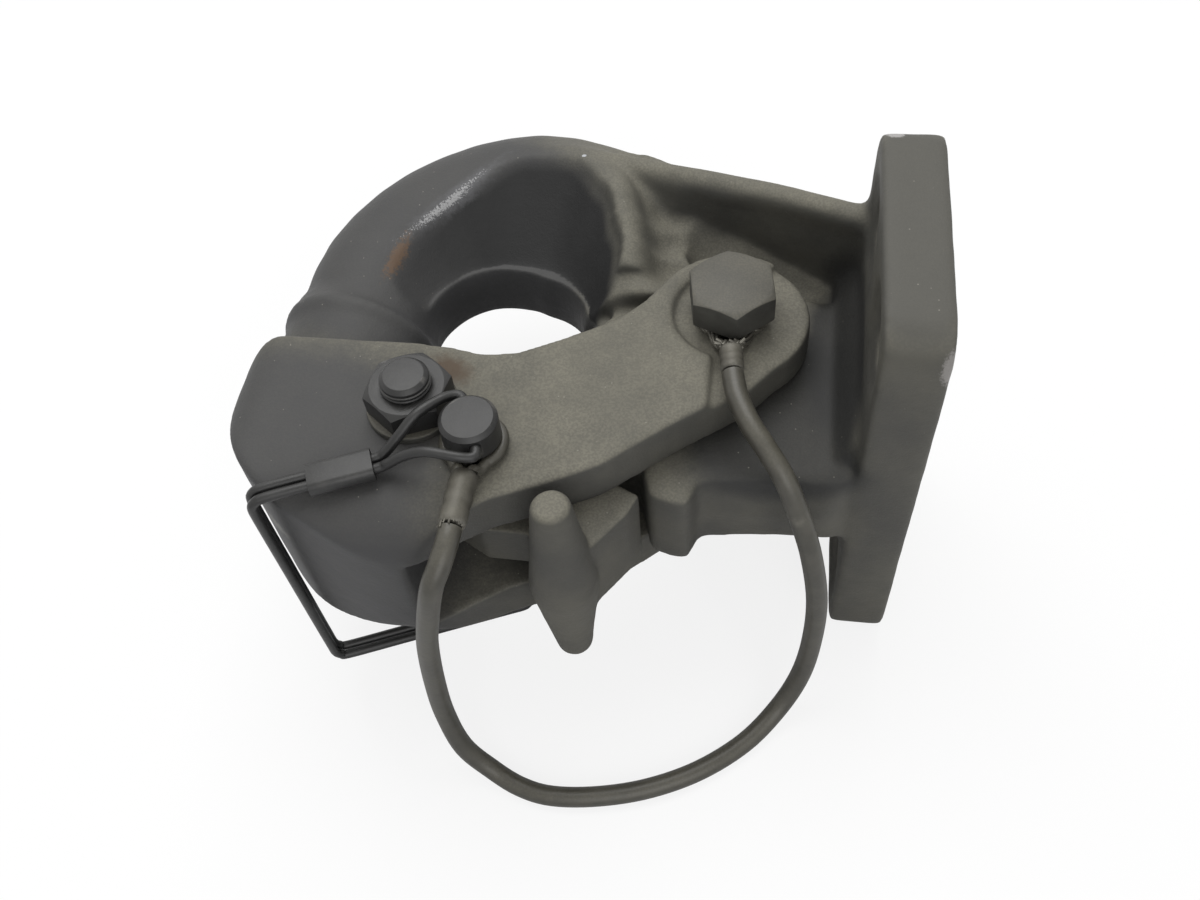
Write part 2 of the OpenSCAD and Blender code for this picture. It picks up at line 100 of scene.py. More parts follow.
class Graph:
    """Adds and links shader nodes in one node tree."""

    def __init__(self, tree: bpy.types.NodeTree) -> None:
        """Keeps the tree of a material, world or group."""
        self.tree = tree

    def add(self, kind: str, settings: dict | None = None, **inputs: object) -> bpy.types.Node:
        """Adds a node, sets its properties and fills its inputs.

        Args:
            kind: Blender's node type name.
            settings: property names and values.
            inputs: input names, with _ for a space, and a value or a socket to link.

        Returns:
            The new node.
        """
        node = self.tree.nodes.new(kind)
        for name, value in (settings or {}).items():
            setattr(node, name, value)
        for name, value in inputs.items():
            self.feed(node.inputs[name.replace("_", " ")], value)
        return node

    def feed(self, socket: bpy.types.NodeSocket, value: object) -> None:
        """Links a socket to an input, or sets the input's value.

        Args:
            socket: the input to fill.
            value: a value, or a socket to link.
        """
        if isinstance(value, bpy.types.NodeSocket):
            self.tree.links.new(value, socket)
        else:
            socket.default_value = value

    def compute(self, kind: str, operation: str, *values: object) -> bpy.types.Node:
        """Adds a node that has an operation.

        Args:
            kind: Blender's node type name.
            operation: the node's operation.
            values: values or sockets of its inputs, in order.

        Returns:
            The new node.
        """
        node = self.add(kind, {"operation": operation})
        for socket, value in zip(node.inputs, values):
            self.feed(socket, value)
        return node

    def math(self, operation: str, *values: object) -> bpy.types.NodeSocket:
        """Adds a Math node and gives its output."""
        return self.compute("ShaderNodeMath", operation, *values).outputs[0]

    def group(self, tree: bpy.types.NodeTree, **inputs: object) -> bpy.types.Node:
        """Adds a node of a shared group and fills its inputs."""
        return self.add("ShaderNodeGroup", {"node_tree": tree}, **inputs)

    def texture(self, where: object, scale: object, detail: float,
                roughness: float = 0.5) -> bpy.types.NodeSocket:
        """Adds a noise texture.

        Args:
            where: coordinates.
            scale: value or socket.
            detail: count of finer layers.
            roughness: weight of the finer layers.

        Returns:
            The noise.
        """
        node = self.add("ShaderNodeTexNoise", Vector=where, Scale=scale, Detail=detail, Roughness=roughness)
        return node.outputs[0]

    def ramp(self, value: object, low: float, high: float) -> bpy.types.NodeSocket:
        """Maps low..high smoothly to 0..1.

        Args:
            value: the value or socket to map.
            low: value that gives 0.
            high: value that gives 1.

        Returns:
            The mapped socket.
        """
        node = self.add("ShaderNodeMapRange", {"interpolation_type": "SMOOTHSTEP"})
        for name, item in (("Value", value), ("From Min", low), ("From Max", high)):
            self.feed(node.inputs[name], item)
        return node.outputs["Result"]

    def mix(self, mask: object, first: object, second: object) -> bpy.types.NodeSocket:
        """Mixes two colours.

        Args:
            mask: 0 gives the first colour, 1 the second.
            first: colour or socket.
            second: colour or socket.

        Returns:
            The mixed colour.
        """
        node = self.add("ShaderNodeMix", {"data_type": "RGBA"})
        for index, item in ((0, mask), (6, first), (7, second)):
            value = (*item, 1.0) if isinstance(item, tuple) else item
            self.feed(node.inputs[index], value)
        return node.outputs[2]


class Effects:
    """Shader node groups that several finishes share, each built once."""

    def __init__(self) -> None:
        """Builds every group."""
        self.grain = self._grain()
        self.dust = self._dust()
        self.edges = self._edges()
        self.spot = self._spot()

    @staticmethod
    def _new(name: str, vectors: tuple[str, ...], numbers: tuple[str, ...],
             results: tuple[str, ...]) -> tuple[Graph, object, object]:
        """Starts a group.

        Args:
            name: the group's name.
            vectors: names of its vector inputs.
            numbers: names of its number inputs.
            results: names of its outputs, which are numbers.

        Returns:
            The graph, the sockets that enter it and those that leave it.
        """
        tree = bpy.data.node_groups.new(name, "ShaderNodeTree")
        rows = [(label, "INPUT", "NodeSocketVector") for label in vectors]
        rows += [(label, "INPUT", "NodeSocketFloat") for label in numbers]
        rows += [(label, "OUTPUT", "NodeSocketFloat") for label in results]
        for label, way, kind in rows:
            tree.interface.new_socket(label, in_out=way, socket_type=kind)
        graph = Graph(tree)
        return graph, graph.add("NodeGroupInput").outputs, graph.add("NodeGroupOutput").inputs

    def _grain(self) -> bpy.types.NodeTree:
        """Builds the scale pits and sand grain of a forged skin.

        Returns:
            A group that gives a height.
        """
        graph, enter, leave = self._new("forged grain", ("Vector",), ("Coarse", "Fine"), ("Height",))
        lumps = graph.texture(enter["Vector"], enter["Coarse"], 4.0, 0.6)
        sand = graph.texture(enter["Vector"], enter["Fine"], 3.0, 0.7)
        height = graph.math("MULTIPLY_ADD", sand, 0.45, graph.math("MULTIPLY", lumps, 0.75))
        graph.feed(leave["Height"], height)
        return graph.tree

    def _dust(self) -> bpy.types.NodeTree:
        """Builds sandy dust that settles on faces that look up, with single light grains.

        Returns:
            A group that gives the masks of the dust and of the grains.
        """
        graph, enter, leave = self._new("settled dust", ("Vector", "Normal"), ("Amount",),
                                        ("Mask", "Grains"))
        up = graph.add("ShaderNodeSeparateXYZ", Vector=enter["Normal"])
        facing = graph.ramp(up.outputs["Z"], 0.25, 0.95)
        spread = graph.ramp(graph.texture(enter["Vector"], 45.0, 5.0, 0.65), 0.25, 0.7)
        speck = graph.ramp(graph.texture(enter["Vector"], 1500.0, 2.0), 0.36, 0.66)
        cover = graph.math("MULTIPLY", facing, graph.math("MULTIPLY_ADD", spread, 0.5, 0.5))
        share = graph.math("MULTIPLY_ADD", speck, 0.32, 0.52)
        mask = graph.math("MULTIPLY", graph.math("MULTIPLY", cover, share), enter["Amount"])
        graph.feed(leave["Mask"], mask)
        cells = graph.add("ShaderNodeTexVoronoi", Vector=enter["Vector"], Scale=620.0)
        near = graph.ramp(cells.outputs["Distance"], 0.17, 0.08)
        pick = graph.add("ShaderNodeSeparateColor", Color=cells.outputs["Color"])
        rare = graph.ramp(pick.outputs[0], 0.9, 0.93)
        lit = graph.math("MULTIPLY_ADD", facing, 0.8, 0.2)
        graph.feed(leave["Grains"], graph.math("MULTIPLY", graph.math("MULTIPLY", near, rare), lit))
        return graph.tree

    def _edges(self) -> bpy.types.NodeTree:
        """Builds rubbed convex edges, broken up by noise.

        Returns:
            A group that gives their mask.
        """
        graph, enter, leave = self._new("rubbed edges", ("Vector",), ("Start", "End"), ("Mask",))
        shape = graph.add("ShaderNodeNewGeometry")
        ridge = graph.ramp(shape.outputs["Pointiness"], enter["Start"], enter["End"])
        kept = graph.ramp(graph.texture(enter["Vector"], 160.0, 5.0, 0.7), 0.38, 0.66)
        graph.feed(leave["Mask"], graph.math("MULTIPLY", ridge, kept))
        return graph.tree

    def _spot(self) -> bpy.types.NodeTree:
        """Builds a ragged patch round one place.

        Returns:
            A group that gives its mask.
        """
        graph, enter, leave = self._new("ragged patch", ("Vector", "Centre", "Size", "Turn"),
                                        ("Grain", "Ragged", "Inner", "Outer"), ("Mask",))
        kind = "ShaderNodeVectorMath"
        moved = graph.compute(kind, "SUBTRACT", enter["Vector"], enter["Centre"])
        turned = graph.add("ShaderNodeVectorRotate", {"rotation_type": "EULER_XYZ"},
                           Vector=moved.outputs[0], Rotation=enter["Turn"])
        scaled = graph.compute(kind, "DIVIDE", turned.outputs[0], enter["Size"])
        length = graph.compute(kind, "LENGTH", scaled.outputs[0])
        torn = graph.texture(enter["Vector"], enter["Grain"], 6.0, 0.75)
        shift = graph.math("MULTIPLY", graph.math("SUBTRACT", torn, 0.5), enter["Ragged"])
        reach = graph.math("ADD", length.outputs["Value"], shift)
        graph.feed(leave["Mask"], graph.ramp(reach, enter["Outer"], enter["Inner"]))
        return graph.tree


class Skin:
    """A new material with the shared effects laid out in it."""

    def __init__(self, name: str, effects: Effects, grain: tuple[float, float], dust_amount: float,
                 rub: tuple[float, float]) -> None:
        """Starts the material.

        Args:
            name: the material's name.
            effects: the shared node groups.
            grain: scales of the coarse and the fine grain.
            dust_amount: how dusty it is.
            rub: pointiness at which rubbed edges start and are full.
        """
        self.made = bpy.data.materials.new(name)
        self.made.use_nodes = True
        self.graph = Graph(self.made.node_tree)
        place = self.graph.add("ShaderNodeTexCoord")
        self.where = place.outputs["Object"]
        self.grain = self.graph.group(effects.grain, Vector=self.where, Coarse=grain[0],
                                      Fine=grain[1]).outputs
        self.dust = self.graph.group(effects.dust, Vector=self.where, Normal=place.outputs["Normal"],
                                     Amount=dust_amount).outputs
        self.edges = self.graph.group(effects.edges, Vector=self.where, Start=rub[0], End=rub[1]).outputs

    def close(self, bump: tuple[float, float], **inputs: object) -> bpy.types.Material:
        """Adds the grain's bump and fills the shader's inputs.

        Args:
            bump: strength and distance of the bump.
            inputs: input names, with _ for a space, and a value or a socket to link.

        Returns:
            The finished material.
        """
        shader = self.made.node_tree.nodes["Principled BSDF"]
        raised = self.graph.add("ShaderNodeBump", Strength=bump[0], Distance=bump[1],
                                Height=self.grain["Height"])
        self.graph.feed(shader.inputs["Normal"], raised.outputs[0])
        for name, value in inputs.items():
            self.graph.feed(shader.inputs[name.replace("_", " ")], value)
        return self.made


@dataclass(frozen=True)
class Patch:
    """A place on a forging with a colour of its own, painted shade or a painted highlight.

    Attributes:
        centre_mm: middle of the patch.
        size_mm: reach along its own axes.
        colour: colour of the patch.
        metal: how bare the metal is there.
        grain: scale of the ragged outline.
        ragged: how far the outline wanders.
        soft: width of the fade at the outline.
        turn_deg: turn of its axes about Z.
    """

    centre_mm: Point
    size_mm: Point
    colour: Colour
    metal: float = 0.0
    grain: float = 420.0
    ragged: float = 1.1
    soft: float = 0.15
    turn_deg: float = 0.0

    def mask(self, skin: Skin, effects: Effects) -> bpy.types.NodeSocket:
        """Adds the patch's mask to a material.

        Args:
            skin: the material.
            effects: the shared node groups.

        Returns:
            The mask.
        """
        node = skin.graph.group(effects.spot, Vector=skin.where, Centre=Vector(self.centre_mm) * MM,
                                Size=Vector(self.size_mm) * MM, Turn=(0.0, 0.0, math.radians(self.turn_deg)),
                                Grain=self.grain, Ragged=self.ragged, Inner=1.0 - self.soft,
                                Outer=1.0 + self.soft)
        return node.outputs["Mask"]


@dataclass(frozen=True)
class ForgedFinish:
    """Matte olive-grey coat over a forged skin, dusty on top and rubbed on its edges; zones and patches add
    own colours, painted shade and painted highlights, and the throat's inside gets painted shade.
    """

    name: str
    coat: Colour = (0.080, 0.077, 0.064)
    stain: Colour = (0.050, 0.049, 0.044)
    dust: Colour = (0.255, 0.241, 0.190)
    rubbed: Colour = (0.150, 0.145, 0.130)
    # Partly the throat's dark oily coat, partly painted shade of the deep throat
    hollow: Colour = (0.010, 0.010, 0.010)
    fleck: Colour = (0.36, 0.34, 0.29)
    dust_amount: float = 0.8
    roughness: float = 0.62
    sheen: float = 0.32
    grain: tuple[float, float] = (230.0, 1300.0)
    rub: tuple[float, float] = (0.515, 0.6)
    bump: tuple[float, float] = (0.5, 0.0005)
    zones: tuple[Patch, ...] = ()
    patches: tuple[Patch, ...] = ()

    def material(self, effects: Effects) -> bpy.types.Material:
        """Builds the material.

        Args:
            effects: the shared node groups.

        Returns:
            The new material.
        """
        skin = Skin(self.name, effects, self.grain, self.dust_amount, self.rub)
        graph = skin.graph
        stains = graph.texture(skin.where, 28.0, 6.0, 0.6)
        colour = graph.mix(graph.ramp(stains, 0.3, 0.7), self.stain, self.coat)
        settled: object = skin.dust["Mask"]
        for zone in self.zones:
            mask = zone.mask(skin, effects)
            colour = graph.mix(mask, colour, zone.colour)
            clear = graph.math("SUBTRACT", 1.0, graph.math("MULTIPLY", mask, 0.9))
            settled = graph.math("MULTIPLY", settled, clear)
        # Inside the throat the near-black hollow colour stands for a dark oily coat and painted shade of the
        # deep throat; dust stays off it
        inner = graph.add("ShaderNodeAttribute", {"attribute_name": Throat.MARK}).outputs["Fac"]
        settled = graph.math("MULTIPLY", settled, graph.math("SUBTRACT", 1.0, inner))
        colour = graph.mix(settled, graph.mix(inner, colour, self.hollow), self.dust)
        colour = graph.mix(graph.math("MULTIPLY", skin.edges["Mask"], 0.6), colour, self.rubbed)
        flecks = graph.math("MULTIPLY", skin.dust["Grains"], graph.math("SUBTRACT", 0.45, inner))
        colour = graph.mix(graph.math("MAXIMUM", flecks, 0.0), colour, self.fleck)
        bare: object = graph.math("MULTIPLY", skin.edges["Mask"], 0.25)
        for patch in self.patches:
            mask = patch.mask(skin, effects)
            colour = graph.mix(mask, colour, patch.colour)
            bare = graph.math("MAXIMUM", bare, graph.math("MULTIPLY", mask, patch.metal))
        shine = graph.math("SUBTRACT", self.roughness, graph.math("MULTIPLY", bare, 0.22))
        shine = graph.math("ADD", shine, graph.math("MULTIPLY", settled, 0.25))
        return skin.close(self.bump, Base_Color=colour, Roughness=shine, Metallic=bare,
                          Specular_IOR_Level=self.sheen)


@dataclass(frozen=True)
class SteelFinish:
    """Oxidised, painted or bare steel, or a coating, with fine grain and rubbed edges."""

    name: str
    colour: Colour
    worn: Colour
    roughness: float = 0.45
    metallic: float = 0.0
    wear: float = 0.6
    dust_amount: float = 0.25
    fine: float = 2200.0
    coarse: float = 420.0
    sheen: float = 0.4
    dust: Colour = (0.14, 0.13, 0.10)
    rub: tuple[float, float] = (0.52, 0.62)
    bump: tuple[float, float] = (0.3, 0.0003)

    def material(self, effects: Effects) -> bpy.types.Material:
        """Builds the material.

        Args:
            effects: the shared node groups.

        Returns:
            The new material.
        """
        skin = Skin(self.name, effects, (self.coarse, self.fine), self.dust_amount, self.rub)
        graph = skin.graph
        mottle = graph.texture(skin.where, 170.0, 5.0)
        darker = tuple(0.7 * c for c in self.colour)
        colour = graph.mix(graph.ramp(mottle, 0.3, 0.7), darker, self.colour)
        colour = graph.mix(skin.dust["Mask"], colour, self.dust)
        colour = graph.mix(graph.math("MULTIPLY", skin.edges["Mask"], self.wear), colour, self.worn)
        shine = graph.math("ADD", self.roughness - 0.08, graph.math("MULTIPLY", mottle, 0.18))
        return skin.close(self.bump, Base_Color=colour, Roughness=shine, Metallic=self.metallic,
                          Specular_IOR_Level=self.sheen)


@dataclass(frozen=True)
class Bead:
    """A rounded ridge that is forged into a surface.

    Attributes:
        points_mm: points along its middle.
        radius_mm: its full radius.
        start: share of the radius at the first point.
        mirrored: whether it is on the far side too.
    """

    points_mm: tuple[Point, ...]
    radius_mm: float
    start: float = 1.0
    mirrored: bool = True


@dataclass
class Throat:
    """Flared mouth of the horn, and the ridges and hollow round it.

    Attributes:
        centre_mm: X and Y of the horn ring's centre.
        crest: angle, reach and height of points on the flare's crest, with the reach of its foot there.
        foot_z_mm: height of the foot.
        hollow: X, Y and depth of places behind the rim that lie lower.
        hollow_spread_mm: reach of each such place.
        tip_mm: X and Y of the lip's middle.
        lip_ring_mm: radius of the ring that the lip follows.
        lip_tilt: fall of that ring along X.
        lip_r_mm: radius of the lip.
        slope: power of the flare's rise from its foot to its crest.
        shade_mm: reach over which the painted shade inside the throat deepens.
        shade_turn_deg: angle over which that fades toward the tip.
        shade_least: least share of it.
        rim: bead on the rim behind the throat.
        rib_crest: rounded crest of the back rib.
    """

    # Vertex attribute that holds how deep the painted shade inside the throat is
    MARK: ClassVar[str] = "inside_throat"

    centre_mm: tuple[float, float] = (-128.0, 20.0)
    crest: tuple[tuple[float, float, float, float], ...] = (
        (-15, 26, 12, 24), (9, 35, 24, 25), (36, 40, 28, 23), (55, 46, 31.5, 22.5), (75, 53, 32, 22),
        (90, 52, 32, 22), (113, 44.5, 29.5, 23.5), (143, 40.5, 25.5, 26), (173, 40, 22.5, 29),
        (195, 28, 12, 27),
    )
    foot_z_mm: float = 10.0
    hollow: tuple[Point, ...] = ((-82, 53, 6), (-79, 43, 8), (-77.5, 33, 8), (-68, 43, 7))
    hollow_spread_mm: float = 8.0
    tip_mm: tuple[float, float] = (-178.5, 9.0)
    lip_ring_mm: float = 24.6
    lip_tilt: float = 0.12
    lip_r_mm: float = 3.0
    slope: float = 1.15
    shade_mm: float = 4.0
    shade_turn_deg: float = 60.0
    shade_least: float = 0.15
    rim: Bead = Bead(((-123, 77, 28.6), (-110, 72, 28.8), (-98.5, 60, 29.2), (-92, 46, 26),
                      (-89.5, 36, 23.8), (-88.6, 29, 21.8)), 7.2, 0.5)
    rib_crest: Bead = Bead(((-119.7, 80, 26.6), (-108.5, 75, 28.4), (-85.3, 66, 31.7), (-63.3, 56.6, 35.5),
                            (-44.2, 48.6, 38.6), (-25.9, 39.5, 41.6), (-14, 34, 43)), 4.6, 0.9)

    def lip(self) -> Bead:
        """Lays out the raised lip round the horn's tip.

        Returns:
            The lip as a closed bead.
        """
        ring = []
        for degrees in range(0, 361, 10):
            turn = math.radians(degrees)
            across = self.lip_ring_mm * math.cos(turn)
            ring.append((self.tip_mm[0] + across, self.tip_mm[1] - self.lip_tilt * across,
                         self.lip_ring_mm * math.sin(turn)))
        return Bead(tuple(ring), self.lip_r_mm, mirrored=False)

    def add_beads(self, whole: bmesh.types.BMesh) -> None:
        """Adds the ridges to a mesh.

        Args:
            whole: the body's mesh, before it is remeshed.
        """
        for bead in (self.rim, self.rib_crest, self.lip()):
            for side in (1, -1) if bead.mirrored else (1,):
                path = Shapes.smooth_path([(x, y, side * z) for x, y, z in bead.points_mm], 5)
                last = len(path) - 1
                swell = [bead.start + (1 - bead.start) * min(1.0, 2 * i / last) for i in range(last + 1)]
                line = Shapes.wire("ridge", [path], bead.radius_mm * MM, 5, swell)
                whole.from_mesh(line.data)
                bpy.data.objects.remove(line)

    def section(self, angle: float) -> tuple[float, float, float] | None:
        """Crest reach, crest height and foot reach at an angle.

        Args:
            angle: angle round the ring's centre in degrees.

        Returns:
            The three sizes in mm, or None away from the flare.
        """
        for first, last in zip(self.crest, self.crest[1:]):
            if first[0] <= angle <= last[0]:
                share = (angle - first[0]) / (last[0] - first[0])
                share = share * share * (3 - 2 * share)
                return tuple(a + (b - a) * share for a, b in zip(first[1:], last[1:]))
        return None

    def lower(self, vert: bmesh.types.BMVert) -> None:
        """Lowers a vertex that lies in the hollow behind the rim.

        Args:
            vert: the vertex.
        """
        depth = 0.0
        for x, y, most in self.hollow:
            away = math.hypot(vert.co.x / MM - x, vert.co.y / MM - y) / self.hollow_spread_mm
            depth = max(depth, most * math.exp(-away * away))
        vert.co.z -= math.copysign(min(depth * MM, abs(vert.co.z)), vert.co.z)

    def press(self, mesh: bmesh.types.BMesh) -> None:
        """Presses the flare and the hollow into a mesh and marks what lies inside the crest for painted
        shade.

        Args:
            mesh: the body's mesh, after it is remeshed.
        """
        mark = mesh.verts.layers.float.new(self.MARK)
        for vert in mesh.verts:
            across = vert.co.x / MM - self.centre_mm[0]
            along = vert.co.y / MM - self.centre_mm[1]
            angle = (math.degrees(math.atan2(along, across)) + 90) % 360 - 90
            cut = self.section(angle)
            reach = math.hypot(across, along)
            if cut is None or reach > cut[0]:
                if abs(vert.co.z) > self.foot_z_mm * MM:
                    self.lower(vert)
                continue
            crest, top, foot = cut
            share = max(0.0, (reach - foot) / max(crest - foot, 0.1))
            level = self.foot_z_mm + (top - self.foot_z_mm) * share ** self.slope
            height = abs(vert.co.z) / MM
            if height > level:
                vert.co.z = math.copysign(level * MM, vert.co.z)
            # Painted shade inside the throat deepens away from the crest and fades toward the tip; the wall
            # below the foot gets none
            fade = max(self.shade_least, (180 - angle) / self.shade_turn_deg)
            deep = min(1.0, (crest - reach) / self.shade_mm) * min(1.0, fade)
            vert[mark] = deep if min(height, level) > self.foot_z_mm else 0.0


class Shapes:
    """Mesh tools that the sub-assemblies share."""

    WAVE_SCALES: ClassVar[tuple[float, float]] = (55.0, 160.0)
    WAVE_MM: ClassVar[float] = 0.16
    PASSES_AFTER_PRESS: ClassVar[int] = 3
    FLAT_RAD: ClassVar[float] = math.radians(1.5)
    SHARP_RAD: ClassVar[float] = math.radians(28)
    CREASE_RAD: ClassVar[float] = math.radians(38)
    TURNED_CREASE_RAD: ClassVar[float] = math.radians(40)

    @staticmethod
    def link(name: str, data: bpy.types.ID) -> bpy.types.Object:
        """Makes an object and puts it in the scene.

        Args:
            name: the object's name.
            data: its mesh, curve, light or camera.

        Returns:
            The new object.
        """
        made = bpy.data.objects.new(name, data)
        bpy.context.scene.collection.objects.link(made)
        return made

    @staticmethod
    def shade(data: bpy.types.Mesh) -> None:
        """Shades a mesh smoothly."""
        data.polygons.foreach_set("use_smooth", [True] * len(data.polygons))

    @classmethod
    def keep(cls, name: str, mesh: bmesh.types.BMesh) -> bpy.types.Object:
        """Makes an object at the origin from a bmesh.

        Args:
            name: the piece's name.
            mesh: the shape, which is freed.

        Returns:
            The new object.
        """
        data = bpy.data.meshes.new(name)
        mesh.to_mesh(data)
        mesh.free()
        cls.shade(data)
        return cls.link(name, data)

    @staticmethod
    def merged(node: bpy.types.Object) -> bmesh.types.BMesh:
        """Welds a copy of a CAD node's triangles.

        Args:
            node: the CAD node's object.

        Returns:
            The welded mesh.
        """
        mesh = bmesh.new()
        mesh.from_mesh(node.data)
        bmesh.ops.remove_doubles(mesh, verts=mesh.verts, dist=1e-6)
        return mesh

    @staticmethod
    def baked(made: bpy.types.Object) -> None:
        """Applies an object's modifiers to its mesh.

        Args:
            made: the object.
        """
        graph = bpy.context.evaluated_depsgraph_get()
        graph.update()
        final = bpy.data.meshes.new_from_object(made.evaluated_get(graph))
        made.modifiers.clear()
        old = made.data
        made.data = final
        bpy.data.meshes.remove(old)

    @classmethod
    def forged(cls, name: str, node: bpy.types.Object, voxel: float, passes: int,
               throat: Throat | None = None) -> bpy.types.Object:
        """A copy of a CAD node with the soft edges and slight waves of a forging.

        Args:
            name: the piece's name.
            node: the CAD node's object.
            voxel: remesh size in metres.
            passes: smoothing passes.
            throat: beads and a flare to forge into it.

        Returns:
            The new object.
        """
        whole = cls.merged(node)
        if throat:
            throat.add_beads(whole)
        made = cls.keep(name, whole)
        remesh = made.modifiers.new("skin", "REMESH")
        remesh.mode = "VOXEL"
        remesh.voxel_size = voxel
        cls.baked(made)
        mesh = bmesh.new()
        mesh.from_mesh(made.data)
        cls.eased(mesh, passes)
        if throat:
            throat.press(mesh)
            cls.eased(mesh, cls.PASSES_AFTER_PRESS)
        mesh.normal_update()
        broad, small = cls.WAVE_SCALES
        for vert in mesh.verts:
            wave = noise.noise(vert.co * broad) + 0.5 * noise.noise(vert.co * small)
            vert.co += vert.normal * wave * cls.WAVE_MM * MM
        mesh.to_mesh(made.data)
        mesh.free()
        cls.shade(made.data)
        return made

    @staticmethod
    def eased(mesh: bmesh.types.BMesh, passes: int) -> None:
        """Smooths a mesh.

        Args:
            mesh: the mesh.
            passes: count of smoothing passes.
        """
        for _ in range(passes):
            bmesh.ops.smooth_vert(mesh, verts=mesh.verts, factor=0.5, use_axis_x=True, use_axis_y=True,
                                  use_axis_z=True)

    @classmethod
    def bevelled(cls, name: str, node: bpy.types.Object, width: float) -> bpy.types.Object:
        """A copy of a CAD node with its sharp edges rounded.

        Args:
            name: the piece's name.
            node: the CAD node's object.
            width: bevel width in metres.

        Returns:
            The new object.
        """
        mesh = cls.merged(node)
        bmesh.ops.dissolve_limit(mesh, angle_limit=cls.FLAT_RAD, verts=mesh.verts, edges=mesh.edges)
        sharp = [e for e in mesh.edges if len(e.link_faces) == 2 and e.calc_face_angle() > cls.SHARP_RAD]
        bmesh.ops.bevel(mesh, geom=sharp, offset=width, offset_type="OFFSET", segments=3, profile=0.5,
                        affect="EDGES", clamp_overlap=True, material=-1)
        made = cls.keep(name, mesh)
        made.data.set_sharp_from_angle(angle=cls.CREASE_RAD)
        return made

    @classmethod
    def wire(cls, name: str, paths: list[list[Vector]], radius: float, sides: int = 4,
             swell: list[float] | None = None) -> bpy.types.Object:
        """Round wire along one or more open paths.

        Args:
            name: the piece's name.
            paths: points in metres.
            radius: wire radius in metres.
            sides: curve bevel resolution.
            swell: share of the radius at each point of a path.

        Returns:
            The new mesh object.
        """
        curve = bpy.data.curves.new(name, "CURVE")
        curve.dimensions = "3D"
        curve.bevel_depth = radius
        curve.bevel_resolution = sides
        curve.use_fill_caps = True
        for path in paths:
            spline = curve.splines.new("POLY")
            spline.points.add(len(path) - 1)
            for index, (spot, place) in enumerate(zip(spline.points, path)):
                spot.co = (*place, 1.0)
                if swell:
                    spot.radius = swell[index]
        line = cls.link(name + "_line", curve)
        graph = bpy.context.evaluated_depsgraph_get()
        data = bpy.data.meshes.new_from_object(line.evaluated_get(graph))
        bpy.data.objects.remove(line)
        bpy.data.curves.remove(curve)
        data.name = name
        cls.shade(data)
        return cls.link(name, data)

    @classmethod
    def turned(cls, name: str, axis_mm: tuple[float, float], profile_mm: list[tuple[float, float]],
               steps: int = 64) -> bpy.types.Object:
        """A shape turned about an axis along Z.

        Args:
            name: the piece's name.
            axis_mm: X and Y of the axis.
            profile_mm: radius and Z of each profile point.
            steps: steps in the full turn.

        Returns:
            The new object.
        """
        mesh = bmesh.new()
        centre = Vector((axis_mm[0], axis_mm[1], 0.0)) * MM
        verts = [mesh.verts.new(centre + Vector((r, 0.0, z)) * MM) for r, z in profile_mm]
        edges = [mesh.edges.new(pair) for pair in zip(verts, verts[1:] + verts[:1])]
        bmesh.ops.spin(mesh, geom=verts + edges, cent=centre, axis=(0, 0, 1), angle=math.tau,
                       steps=steps, use_merge=True, use_duplicate=False)
        bmesh.ops.remove_doubles(mesh, verts=mesh.verts, dist=1e-7)
        bmesh.ops.recalc_face_normals(mesh, faces=mesh.faces)
        made = cls.keep(name, mesh)
        made.data.set_sharp_from_angle(angle=cls.TURNED_CREASE_RAD)
        return made

    @staticmethod
    def smooth_path(points_mm: list[Point], parts: int) -> list[Vector]:
        """A smooth curve through given points.

        Args:
            points_mm: the points to pass through.
            parts: pieces between two points.

        Returns:
            Points in metres.
        """
        spots = [Vector(p) * MM for p in points_mm]
        last = len(spots) - 1
        path = []
        for i in range(last):
            a, b, c, d = spots[max(i - 1, 0)], spots[i], spots[i + 1], spots[min(i + 2, last)]
            for j in range(parts):
                t = j / parts
                path.append(0.5 * (2 * b + (c - a) * t + (2 * a - 5 * b + 4 * c - d) * t * t
                                   + (3 * b - a - 3 * c + d) * t ** 3))
        return path + [spots[last]]


def dress(piece: bpy.types.Object, finish: bpy.types.Material, body: Body | None = None,
          node: str | None = None) -> bpy.types.Object:
    """Gives a piece its material, and its body and CAD node where it has them.

    Args:
        piece: the piece.
        finish: its material.
        body: the body that it rides on, if it has one.
        node: the CAD node that it replaces.

    Returns:
        The piece.
    """
    piece.data.materials.clear()
    piece.data.materials.append(finish)
    if body:
        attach(piece, body.value)
    if node:
        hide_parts(node)
    LOG.info("%s: %d faces", piece.name, len(piece.data.polygons))
    return piece


